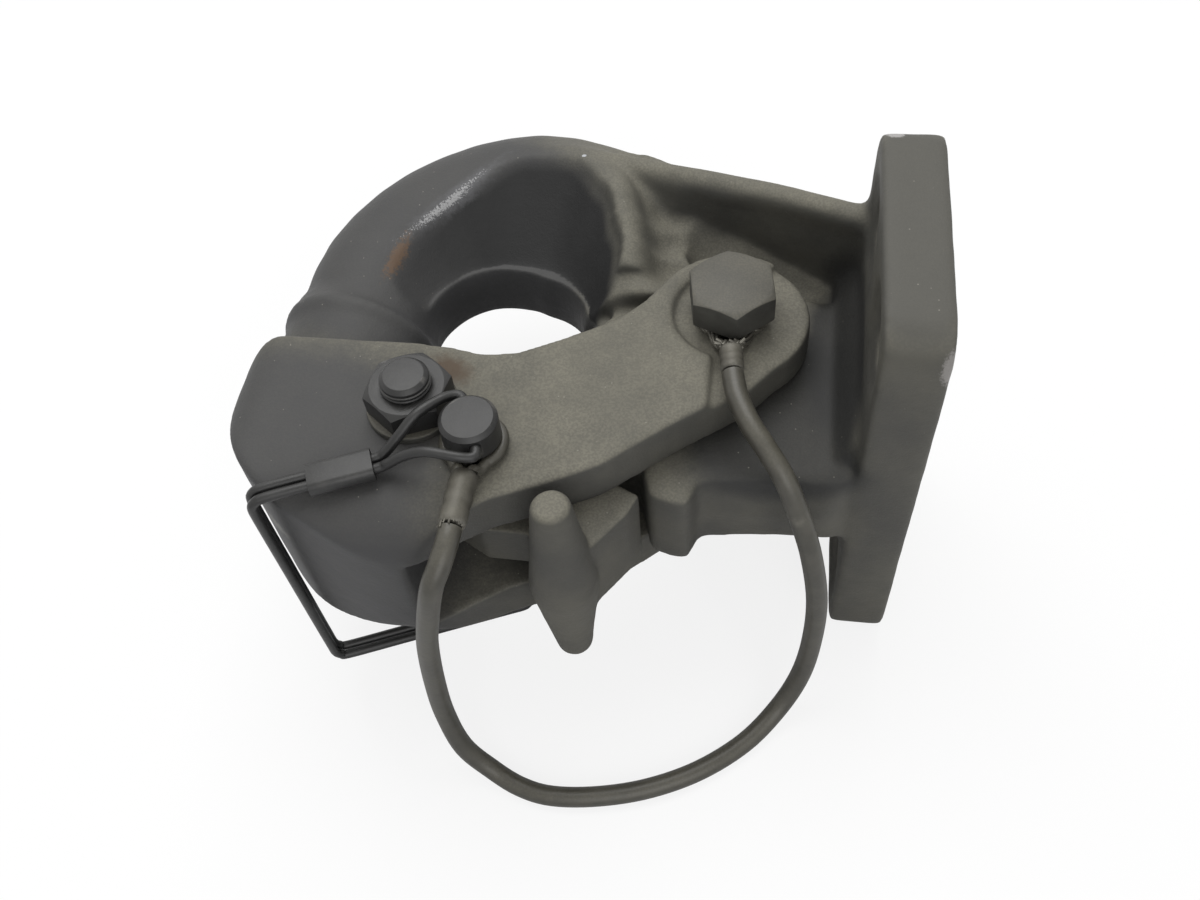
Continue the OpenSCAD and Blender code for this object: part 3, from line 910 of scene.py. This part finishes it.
@dataclass
class Forgings:
    """The body, latch and lever.

    Attributes:
        plan: node, body, remesh size in mm and smoothing passes of each forging.
    """

    plan: tuple[tuple[str, Body, float, int], ...] = (
        ("body", Body.HOOK, 1.2, 10), ("latch", Body.LATCH, 0.95, 7), ("lever", Body.LEVER, 0.7, 5))

    @staticmethod
    def finish(name: str) -> ForgedFinish:
        """Chooses the finish of one forging, with its own worn places, painted shade and painted highlights.

        Args:
            name: the forging's CAD node.

        Returns:
            The finish.
        """
        steel = (0.36, 0.35, 0.34)
        pale = (0.22, 0.21, 0.20)
        rust = (0.105, 0.068, 0.044)
        satin = (0.046, 0.046, 0.047)
        # Near-black painted shade for corners and recesses where light falls off
        painted_shade = (0.024, 0.024, 0.023)
        wide = {"grain": 40.0, "ragged": 0.35, "soft": 0.22}
        zones = {
            "body": (
                Patch((-165, 45, 0), (66, 66, 80), satin, **wide),
                # Painted shade on the boss top between the latch and the flange
                Patch((-40, -22, 17), (30, 34, 12), painted_shade, **wide),
                # Painted shade in the gusset where the rib meets the flange
                Patch((-22, 6, 20), (12, 34, 18), painted_shade, **wide),
                Patch((-9, 0, 82), (16, 60, 12), (0.074, 0.072, 0.063), **wide),
            ),
            "latch": (
                Patch((-186, -60, 12), (60, 50, 75), satin, **wide),
                # Painted shade over the middle of the latch, between its cheeks
                Patch((-106, -42, 0), (38, 50, 20), painted_shade, **wide),
            ),
        }
        patches = {
            "body": (
                # Painted highlight along the horn's crest: a soft lighter band and a ragged line of bright
                # specks, drawn like worn specks
                Patch((-151, 56, 27.8), (19, 2.4, 4), (0.1, 0.1, 0.104), 0.1, 420.0, 2.2, 0.9, -49),
                Patch((-154, 52.9, 27.4), (12, 0.9, 3), (0.3, 0.3, 0.3), 0.25, 1500.0, 8.0, 0.1, -49),
                Patch((-167, 31, 23.8), (8, 2.1, 4), rust, 0.0, 800.0, 3.2, 0.4, -77),
                Patch((-109.5, 71.2, 33), (0.8, 0.6, 2), (0.4, 0.41, 0.43), 0.3, 1500.0),
                Patch((-14, 36, 76), (2.5, 2.5, 3), steel, 0.4, 1500.0),
                Patch((-1, -38.5, 66), (3, 3, 6), pale, 0.3, 1200.0),
                Patch((-1, -38, -60), (3, 2, 12), pale, 0.2, 900.0),
            ),
            "latch": (
                Patch((-137, -22, 33), (7, 4, 3), (0.085, 0.062, 0.042), 0.0, 300.0, 1.5, 0.6, 20),
                Patch((-196, -18, 26), (2, 2, 3), pale, 0.1, 900.0),
                Patch((-184, -64, 10), (6, 2, 3.5), (0.125, 0.122, 0.112), 0.05, 700.0, 3.0, 0.4, 42),
            ),
        }
        return ForgedFinish(name + "_forged_coat", zones=zones.get(name, ()), patches=patches.get(name, ()))

    def build(self, nodes: dict[str, bpy.types.Object], effects: Effects) -> None:
        """Makes, dresses and places each forging.

        Args:
            nodes: the CAD nodes' objects.
            effects: the shared node groups.
        """
        for name, body, voxel_mm, passes in self.plan:
            throat = Throat() if name == "body" else None
            piece = Shapes.forged(name + "_forging", nodes[name], voxel_mm * MM, passes, throat)
            dress(piece, self.finish(name).material(effects), body, name)


@dataclass
class Hardware:
    """Bolts, nuts, washers, bush, spring, pin and sleeve.

    Attributes:
        lever_mm: axis of the lever bolt.
        nut_top_mm: height of the lever nut's top.
        bolt_end_mm: height of the lever bolt's end.
        bolt_r_mm: radius of the lever bolt.
        bolt_chamfer_mm: plain length at its end.
        thread_pitch_mm: pitch of its thread.
        thread_steps_mm: inner wall, root and crest of the thread, from that radius.
        thread_sink_mm: how far the ridges start below the nut's top.
        spring_z_mm: lowest height and rise of the spring's wire.
        spring_r_mm: radius of its coils.
        spring_wire_mm: radius of its wire.
        spring_turns: count of its coils.
        spring_steps: steps along them.
    """

    lever_mm: tuple[float, float] = (-144.5, -36.5)
    nut_top_mm: float = 43.3
    bolt_end_mm: float = 47.9
    bolt_r_mm: float = 7.0
    bolt_chamfer_mm: float = 0.8
    thread_pitch_mm: float = 1.4
    thread_steps_mm: Point = (-0.8, -0.35, 0.3)
    thread_sink_mm: float = 0.4
    spring_z_mm: tuple[float, float] = (10.7, 4.6)
    spring_r_mm: float = 10.2
    spring_wire_mm: float = 1.0
    spring_turns: int = 3
    spring_steps: int = 120

    def build(self, nodes: dict[str, bpy.types.Object], effects: Effects) -> None:
        """Makes, dresses and places the hardware.

        Args:
            nodes: the CAD nodes' objects.
            effects: the shared node groups.
        """
        bare = {"metallic": 1.0, "wear": 0.3, "dust_amount": 0.0}
        black = SteelFinish("black_oxide", (0.020, 0.020, 0.020), (0.14, 0.135, 0.125), roughness=0.42,
                            dust_amount=0.06).material(effects)
        painted = SteelFinish("painted_hex", (0.052, 0.051, 0.045), (0.2, 0.19, 0.17), roughness=0.55,
                              dust_amount=0.8).material(effects)
        bronze = SteelFinish("bearing_bronze", (0.42, 0.33, 0.17), (0.55, 0.45, 0.25), roughness=0.35,
                             **bare).material(effects)
        sprung = SteelFinish("oiled_spring", (0.28, 0.28, 0.28), (0.4, 0.4, 0.4), roughness=0.3,
                             **bare).material(effects)
        plan = (
            ("pivot_bolt", Body.HOOK, painted, Slot.HARDWARE, 0.55),
            ("pivot_washer", Body.HOOK, painted, Slot.HARDWARE, 0.3),
            ("pivot_nut", Body.HOOK, painted, Slot.HARDWARE, 0.5),
            ("pivot_bush", Body.HOOK, bronze, Slot.BRONZE, 0.2),
            ("lever_bolt", Body.LATCH, black, Slot.BLACK, 0.4),
            ("lever_nut", Body.LATCH, black, Slot.BLACK, 0.6),
            ("lever_washer", Body.LATCH, painted, Slot.HARDWARE, 0.3),
            ("lever_head_washer", Body.LATCH, painted, Slot.HARDWARE, 0.3),
            ("safety_pin", Body.PIN, black, Slot.BLACK, 0.5),
            ("bail_sleeve", Body.BAIL, black, Slot.BLACK, 0.5),
        )
        for name, body, finish, slot, width in plan:
            dress(Shapes.bevelled(name + "_turned", nodes[name], width * MM), finish, body, name)
        dress(self.threads(), black, Body.LATCH)
        dress(self.spring(), sprung, Body.LATCH, "lever_spring")

    def threads(self) -> bpy.types.Object:
        """Makes thread ridges on the lever bolt's end beyond the nut.

        Returns:
            The new piece.
        """
        pitch, base = self.thread_pitch_mm, self.nut_top_mm
        count = int((self.bolt_end_mm - base - self.bolt_chamfer_mm) / pitch)
        inner, root, crest = (self.bolt_r_mm + step for step in self.thread_steps_mm)
        profile = [(inner, base - self.thread_sink_mm)]
        for i in range(count):
            low = base + i * pitch
            profile += [(root, low), (crest, low + 0.45 * pitch), (crest, low + 0.55 * pitch)]
        top = base + count * pitch
        return Shapes.turned("lever_bolt_threads", self.lever_mm, profile + [(root, top), (inner, top)])

    def spring(self) -> bpy.types.Object:
        """Makes the coils of the lever's torsion spring as round wire.

        Returns:
            The new piece.
        """
        (x, y), radius = self.lever_mm, self.spring_r_mm
        low, rise = self.spring_z_mm
        path = []
        for i in range(self.spring_steps + 1):
            share = i / self.spring_steps
            turn = math.tau * self.spring_turns * share
            spot = Vector((x + radius * math.cos(turn), y + radius * math.sin(turn), low + rise * share))
            path.append(spot * MM)
        return Shapes.wire("lever_spring_wire", [path], self.spring_wire_mm * MM)


@dataclass
class Bail:
    """Doubled spring wire from the pin's head, round the nose, to below the pin's tip."""

    pin_mm: tuple[float, float] = (-124.0, -49.0)
    along: tuple[float, float] = (-0.925, -0.38)
    across: tuple[float, float] = (-0.38, 0.925)
    wire_r_mm: float = 1.5
    half_gap_mm: float = 1.7
    hole_z_mm: float = 43.5
    top_z_mm: float = 37.0
    low_z_mm: float = -60.0
    reach_mm: float = 62.65

    def half(self) -> list[Point]:
        """Lays out one of the two strands.

        Returns:
            Reach, offset and height of points along it.
        """
        high, top, low, far = self.hole_z_mm, self.top_z_mm, self.low_z_mm, self.reach_mm
        off = self.half_gap_mm
        return [
            (0, 0.2, high), (0, 6, high), (0, 9.2, high), (0.6, 10.6, high), (2.4, 11, high + 0.3),
            (6, 10, high + 1.2), (13, 6.6, high + 1.8), (19, 3.6, high - 1.5), (24, 2, top + 1.2),
            (27.5, off, top), (40, off, top), (50, off, top), (far - 4, off, top - 0.3),
            (far - 1.4, off, top - 1.4), (far - 0.2, off, top - 4), (far, off, top - 12), (far, off, 0),
            (far, off, low + 12), (far - 0.2, off, low + 4), (far - 1.4, off, low + 1.4),
            (far - 4, off, low), (40, off, low), (20, off, low), (4, off, low), (-1.5, off, low),
            (-3.3, 1.2, low), (-4, 0.3, low),
        ]

    def build(self, effects: Effects) -> None:
        """Makes, dresses and places the bail wire.

        Args:
            effects: the shared node groups.
        """
        one = self.half()
        both = one + [(t, -w, z) for t, w, z in reversed(one)]
        points = []
        for t, w, z in both:
            x = self.pin_mm[0] + t * self.along[0] + w * self.across[0]
            y = self.pin_mm[1] + t * self.along[1] + w * self.across[1]
            points.append((x, y, z))
        piece = Shapes.wire("bail_wire", [Shapes.smooth_path(points, 5)], self.wire_r_mm * MM)
        finish = SteelFinish("bail_black", (0.018, 0.018, 0.018), (0.12, 0.12, 0.115), roughness=0.4,
                             wear=0.3, dust_amount=0.05)
        dress(piece, finish.material(effects), Body.BAIL, "bail")


@dataclass(frozen=True)
class Loop:
    """A wire loop round a post.

    Attributes:
        post_mm: X and Y of the post.
        radius_mm: radius of the loop's centre line.
        height_mm: height of the loop.
        legs_mm: reach, offset and rise of each leg point on its way to the ferrule.
    """

    post_mm: tuple[float, float]
    radius_mm: float
    height_mm: float
    legs_mm: tuple[Point, ...]


@dataclass
class Lanyard:
    """Coated wire-rope lanyard from the pivot bolt to the safety pin."""

    diameter_mm: float = 6.4
    eye_z_mm: float = 30.3
    cheek_z_mm: float = 33.0
    floor_z_mm: float = -77.0
    ferrule_r_mm: dict[str, float] = field(default_factory=lambda: {"bolt": 3.4, "pin": 3.9})
    parts: int = 6  # steps between two points of the route
    split_at: int = 6  # route point at which the two stretches meet
    upper_turn_mm: tuple[Point, Point] = ((-36.2, -52.9, 13.9), (-54.5, -20.9, 36.8))
    lower_turn_mm: tuple[Point, Point] = ((-58.2, -23.9, 37.0), (-124.45, -78.0, 37.0))
    strand_count: int = 6
    strand_lay: int = 26  # steps of the loop in one turn of its strands
    strand_off_mm: float = 1.1
    strand_r_mm: float = 0.55
    loose_wires: int = 14
    pin_wire_mm: float = 1.7
    fray_count: int = 16
    fray_ring_mm: float = 3.1
    fray_r_mm: float = 0.32

    @property
    def ferrules(self) -> dict[str, tuple[Point, Point]]:
        """Both ends of each ferrule.

        Returns:
            Pairs of points by the end's name.
        """
        eye, cheek = self.eye_z_mm, self.cheek_z_mm
        return {"bolt": ((-55.6, -12, eye + 6.5), (-54.6, -20.3, eye + 6.5)),
                "pin": ((-123.9, -61, cheek + 4.3), (-124.4, -77.3, cheek + 4.1))}

    @property
    def loops(self) -> dict[str, Loop]:
        """The loop at each end.

        Returns:
            The loops by the end's name.
        """
        bolt_legs = ((12, 4.2, 0.1), (14, 3, 0.5), (15.5, 2.3, 2.4), (16.7, 1.9, 4.2), (18, 1.85, 4.6))
        pin_legs = ((9.3, 3.4, 0.2), (10.1, 2.6, 1.2), (10.8, 2, 2), (11.5, 1.95, 2))
        return {"bolt": Loop((-56.5, 6.5), 9.85, self.eye_z_mm + 1.9, bolt_legs),
                "pin": Loop((-124, -49), 8.2, self.cheek_z_mm + 2.3, pin_legs)}

    def route(self) -> list[Point]:
        """Lays out the route from the bolt's ferrule to the pin's.

        Returns:
            Points to pass through.
        """
        eye, cheek = self.eye_z_mm, self.cheek_z_mm
        low = self.floor_z_mm + self.diameter_mm / 2 + 0.2
        return [
            (-54.5, -20.9, eye + 6.5), (-53.9, -24, eye + 6.3), (-52.5, -29, eye + 5.7),
            (-48.8, -36.5, eye + 4.2), (-44.1, -42.5, eye + 1.7), (-38.4, -49.2, 27), (-33.8, -53.8, 17),
            (-29.3, -58.1, 3), (-25.9, -61.1, -18), (-25.6, -63.4, -40), (-27.9, -67.3, -58),
            (-34, -74.2, -70), (-44, -85.4, low), (-57.8, -96.2, low), (-73.2, -103.7, low),
            (-88.9, -108, low), (-104, -109.5, low), (-115, -107.5, low), (-125, -103.5, low + 3),
            (-133, -100.5, -61), (-137, -96.5, -45), (-137, -94.5, -25), (-135, -93.5, -3), (-132, -93, 13),
            (-128.5, -91.5, 28), (-126, -87, cheek + 0.8), (-124.7, -81.5, cheek + 3.5),
            (-124.45, -78, cheek + 4.05),
        ]

    def build(self, effects: Effects) -> None:
        """Makes, dresses and places the cable, its loops and its ferrules.

        Args:
            effects: the shared node groups.
        """
        coat = SteelFinish("scuffed_cable_coat", (0.058, 0.055, 0.045), (0.2, 0.19, 0.155), roughness=0.4,
                           wear=0.35, dust_amount=0.5, fine=900.0).material(effects)
        crimp = SteelFinish("crimped_ferrule", (0.085, 0.08, 0.066), (0.3, 0.29, 0.26), roughness=0.5,
                            metallic=0.2, dust_amount=0.6).material(effects)
        strand = SteelFinish("bare_strand_wire", (0.115, 0.108, 0.09), (0.26, 0.25, 0.22), roughness=0.42,
                             metallic=0.5, wear=0.4, dust_amount=0.2).material(effects)
        path = Shapes.smooth_path(self.route(), self.parts)
        cut = self.split_at * self.parts
        at_bolt = [self.ferrule("bolt", crimp), self.strands(strand)]
        at_pin = [self.ferrule("pin", crimp), self.pin_loop(coat), self.frays(strand)]
        self.stretch("upper", path[:cut + 1], coat)
        self.stretch("lower", path[cut:], coat)

    def stretch(self, name: str, path: list[Vector],
                finish: bpy.types.Material) -> None:
        """Makes one stretch of the cable.

        Args:
            name: upper or lower.
            path: its centreline, in metres.
            finish: its material.
        """
        cable = Shapes.wire("cable_rope_" + name, [path], self.diameter_mm / 2 * MM, 6)
        dress(cable, finish, node="cable")
        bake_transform(cable)

    def ferrule(self, end: str, finish: bpy.types.Material) -> bpy.types.Object:
        """Makes a crimped ferrule with turned-in ends and two shallow dents.

        Args:
            end: bolt or pin.
            finish: its material.

        Returns:
            The new piece.
        """
        first, last = (Vector(p) * MM for p in self.ferrules[end])
        shares = [0.0, 0.03, 0.1, 0.28, 0.36, 0.44, 0.56, 0.64, 0.72, 0.9, 0.97, 1.0]
        swell = [0.84, 0.95, 1.0, 1.0, 0.92, 1.0, 1.0, 0.92, 1.0, 1.0, 0.95, 0.84]
        path = [first.lerp(last, share) for share in shares]
        name = "cable_ferrule_" + end
        piece = Shapes.wire(name + "_crimped", [path], self.ferrule_r_mm[end] * MM, 7, swell)
        return dress(piece, finish, Body.LATCH, name)

    def loop(self, end: str) -> list[Vector]:
        """Lays out the wire loop at one end.

        Args:
            end: bolt or pin.

        Returns:
            Points along it, in metres.
        """
        place = self.loops[end]
        mouth = self.ferrules[end][0]
        centre = Vector((*place.post_mm, 0.0))
        toward = (Vector((mouth[0], mouth[1], 0.0)) - centre).normalized()
        aside = Vector((-toward.y, toward.x, 0.0))
        start = math.atan2(toward.y, toward.x)
        path = [centre + toward * reach + aside * offset + Vector((0, 0, place.height_mm + rise))
                for reach, offset, rise in reversed(place.legs_mm)]
        for degrees in range(35, 326, 10):
            turn = start + math.radians(degrees)
            path.append(centre + Vector((place.radius_mm * math.cos(turn),
                                         place.radius_mm * math.sin(turn), place.height_mm)))
        path += [centre + toward * reach - aside * offset + Vector((0, 0, place.height_mm + rise))
                 for reach, offset, rise in place.legs_mm]
        return Shapes.smooth_path([tuple(p) for p in path], 4)

    def strands(self, finish: bpy.types.Material) -> bpy.types.Object:
        """Makes the bare loop at the bolt of twisted strands, with some frayed wires.

        Args:
            finish: its material.

        Returns:
            The new piece.
        """
        core = self.loop("bolt")
        paths = []
        for strand in range(self.strand_count):
            line = []
            for index, spot in enumerate(core):
                ahead = (core[min(index + 1, len(core) - 1)] - core[max(index - 1, 0)]).normalized()
                side = ahead.cross(Vector((0, 0, 1))).normalized()
                turn = math.tau * (strand / self.strand_count + index / self.strand_lay)
                out = side * math.cos(turn) + ahead.cross(side) * math.sin(turn)
                line.append(spot + out * self.strand_off_mm * MM)
            paths.append(line)
        rng = random.Random(4)
        for _ in range(self.loose_wires):
            root = core[rng.choice((2, 3, 5, 7, -3, -4, -6, -8))]
            tip = Vector((rng.uniform(-3, 3), rng.uniform(-1, 2.5), rng.uniform(0.2, 1.6))) * MM
            paths.append([root, root + tip * 0.5 + Vector((0, 0, 0.3 * MM)), root + tip])
        piece = Shapes.wire("cable_loop_bolt_strands", paths, self.strand_r_mm * MM, 2)
        return dress(piece, finish, Body.LATCH, "cable_loop_bolt")

    def frays(self, finish: bpy.types.Material) -> bpy.types.Object:
        """Makes wire ends that stand out where the cable leaves the pin's ferrule.

        Args:
            finish: their material.

        Returns:
            The new piece.
        """
        end = Vector(self.ferrules["pin"][1])
        ring = self.fray_ring_mm
        rng = random.Random(9)
        paths = []
        for index in range(self.fray_count):
            turn = math.tau * index / self.fray_count
            root = end + Vector((ring * math.cos(turn), 0.4, ring * math.sin(turn)))
            tip = root + Vector((rng.uniform(-0.5, 0.5), -rng.uniform(0.8, 2.6), rng.uniform(-0.2, 0.7)))
            paths.append([root * MM, tip * MM])
        piece = Shapes.wire("pin_ferrule_frays", paths, self.fray_r_mm * MM, 1)
        return dress(piece, finish, Body.LATCH)

    def pin_loop(self, finish: bpy.types.Material) -> bpy.types.Object:
        """Makes the coated loop round the pin."""
        piece = Shapes.wire("cable_loop_pin_coated", [self.loop("pin")], self.pin_wire_mm * MM, 5)
        return dress(piece, finish, Body.LATCH, "cable_loop_pin")


@dataclass
class PhotoCamera:
    """Camera at the photograph's place."""

    place_mm: Point = (-48.0, -228.6, 294.8)
    forward: Point = (-0.1282, 0.5645, -0.8154)
    up: Point = (-0.0637, 0.8158, 0.5748)
    focal_px: float = 1167.9

    def build(self) -> None:
        """Makes the scene's camera."""
        data = bpy.data.cameras.new("photo_camera")
        data.sensor_width = SENSOR_MM
        data.lens = self.focal_px / PHOTO_WIDTH_PX * SENSOR_MM
        data.clip_start = 0.01
        made = Shapes.link("photo_camera", data)
        back = -Vector(self.forward).normalized()
        right = Vector(self.up).cross(back).normalized()
        top = back.cross(right)
        turn = Matrix((right, top, back)).transposed()
        made.matrix_world = Matrix.Translation(Vector(self.place_mm) * MM) @ turn.to_4x4()
        bpy.context.scene.camera = made


@dataclass
class Studio:
    """Pale floor, soft lamps and a white surround."""

    floor_z_mm: float = -77.0
    floor_size_m: float = 8.0
    paper: Colour = (0.93, 0.93, 0.93)
    glow: float = 0.82
    fill: float = 0.45
    lamps: tuple[tuple[str, Point, float, float], ...] = (
        ("key", (-0.25, 0.45, 1.05), 0.9, 10.0),
        ("front", (0.35, -1.1, 0.75), 1.0, 7.0),
    )
    aim_m: Point = (-0.1, 0.0, 0.0)

    def build(self) -> None:
        """Makes the floor, the lamps and the world."""
        self.floor()
        for lamp in self.lamps:
            self.lamp(*lamp)
        self.world()
        bpy.context.scene.view_settings.view_transform = "Standard"

    def floor(self) -> None:
        """Makes a pale sheet that keeps the object's shadow."""
        mesh = bmesh.new()
        bmesh.ops.create_grid(mesh, x_segments=1, y_segments=1, size=self.floor_size_m / 2)
        bmesh.ops.translate(mesh, verts=mesh.verts, vec=(0, 0, self.floor_z_mm * MM))
        sheet = Shapes.keep("studio_floor", mesh)
        paper = bpy.data.materials.new("white_paper")
        paper.use_nodes = True
        graph = Graph(paper.node_tree)
        shader = paper.node_tree.nodes["Principled BSDF"]
        shader.inputs["Base Color"].default_value = (*self.paper, 1.0)
        shader.inputs["Roughness"].default_value = 0.9
        shader.inputs["Specular IOR Level"].default_value = 0.0
        rays = graph.add("ShaderNodeLightPath")
        seen = graph.math("MULTIPLY", rays.outputs["Is Camera Ray"], self.glow)
        glow = graph.add("ShaderNodeEmission", Color=(1, 1, 1, 1), Strength=1.0)
        both = graph.add("ShaderNodeMixShader")
        graph.feed(both.inputs[0], seen)
        graph.feed(both.inputs[1], shader.outputs[0])
        graph.feed(both.inputs[2], glow.outputs[0])
        graph.feed(paper.node_tree.nodes["Material Output"].inputs["Surface"], both.outputs[0])
        sheet.data.materials.append(paper)

    def lamp(self, name: str, place_m: Point, size_m: float, watts: float) -> None:
        """Makes a square soft lamp that looks at the object.

        Args:
            name: the lamp's name.
            place_m: where it hangs.
            size_m: its width.
            watts: its power.
        """
        data = bpy.data.lights.new(name, "AREA")
        data.size = size_m
        data.energy = watts
        made = Shapes.link(name, data)
        made.location = place_m
        aim = Vector(self.aim_m) - Vector(place_m)
        made.rotation_euler = aim.to_track_quat("-Z", "Y").to_euler()

    def world(self) -> None:
        """Makes soft even light, with white where the camera sees past the floor."""
        surround = bpy.data.worlds.new("soft_surround")
        bpy.context.scene.world = surround
        surround.use_nodes = True
        graph = Graph(surround.node_tree)
        back = surround.node_tree.nodes["Background"]
        rays = graph.add("ShaderNodeLightPath")
        seen = graph.math("MAXIMUM", rays.outputs["Is Camera Ray"], rays.outputs["Is Glossy Ray"])
        seen = graph.math("MAXIMUM", seen, rays.outputs["Is Transmission Ray"])
        strength = graph.math("MULTIPLY_ADD", seen, 1.0 - self.fill, self.fill)
        graph.feed(back.inputs["Strength"], strength)
        back.inputs["Color"].default_value = (1, 1, 1, 1)


def main() -> None:
    """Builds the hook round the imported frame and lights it."""
    logging.basicConfig(level=logging.INFO, format="%(name)s %(message)s")
    for thing in list(bpy.data.objects):
        bpy.data.objects.remove(thing)
    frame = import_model()
    effects = Effects()
    PhotoCamera().build()
    Lanyard().build(effects)
    Forgings().build(frame["nodes"], effects)
    Hardware().build(frame["nodes"], effects)
    Bail().build(effects)
    Studio().build()


if __name__ == "__main__":
    main()
